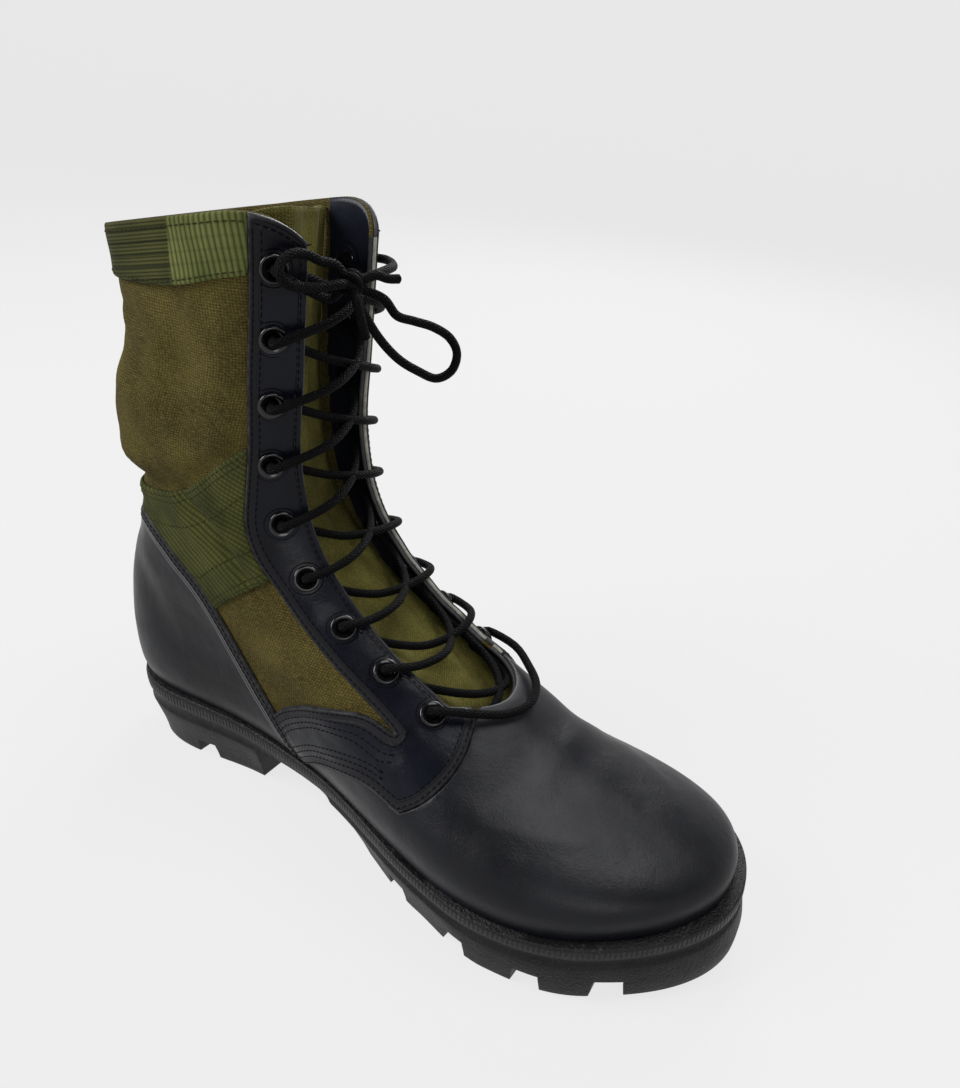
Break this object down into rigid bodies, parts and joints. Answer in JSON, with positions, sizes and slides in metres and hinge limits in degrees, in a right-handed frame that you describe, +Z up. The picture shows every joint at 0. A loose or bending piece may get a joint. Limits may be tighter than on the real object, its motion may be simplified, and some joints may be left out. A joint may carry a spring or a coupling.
{
  "type": "jungle boot",
  "caption": "Tall laced boot for hot, wet ground: canvas shaft, leather vamp, counter and eyelet facings, and a moulded rubber lug sole.",
  "frame": {"origin": "on the floor, under the middle of the heel", "axes": "+X from the heel towards the toe, +Y towards the inner flank, +Z up"},
  "size_m": [0.3105, 0.116, 0.2634],
  "materials": {
    "rubber": "matt moulded black rubber",
    "leather": "black smooth leather, semi-gloss",
    "canvas": "olive plain-weave canvas",
    "webbing": "dark green ribbed tape",
    "tongue": "olive canvas",
    "board": "brown insole board",
    "enamel": "black enamelled brass",
    "cord": "black braided cord"
  },
  "bodies": {
    "root": {"outsole": "rubber", "insole": "board", "upper": "canvas", "tongue": "tongue", "vamp": "leather", "counter": "leather", "facing_lateral": "leather", "facing_medial": "leather", "ankle_strap": "webbing", "collar_band": "webbing", "eyelet_lateral_1": "enamel", "eyelet_lateral_2": "enamel", "eyelet_lateral_3": "enamel", "eyelet_lateral_4": "enamel", "eyelet_lateral_5": "enamel", "eyelet_lateral_6": "enamel", "eyelet_lateral_7": "enamel", "eyelet_lateral_8": "enamel", "eyelet_lateral_9": "enamel", "eyelet_medial_1": "enamel", "eyelet_medial_2": "enamel", "eyelet_medial_3": "enamel", "eyelet_medial_4": "enamel", "eyelet_medial_5": "enamel", "eyelet_medial_6": "enamel", "eyelet_medial_7": "enamel", "eyelet_medial_8": "enamel", "eyelet_medial_9": "enamel", "lace_bar": "cord", "lace_crossing_1": "cord", "lace_crossing_2": "cord", "lace_crossing_3": "cord", "lace_crossing_4": "cord", "lace_crossing_5": "cord", "lace_crossing_6": "cord", "lace_crossing_7": "cord", "lace_crossing_8": "cord", "lace_knot": "cord", "lace_tie_lateral": "cord", "lace_tie_medial": "cord", "lace_loop_lateral": "cord", "lace_loop_medial": "cord", "lace_end_lateral": "cord", "lace_end_medial": "cord"}
  },
  "joints": []
}
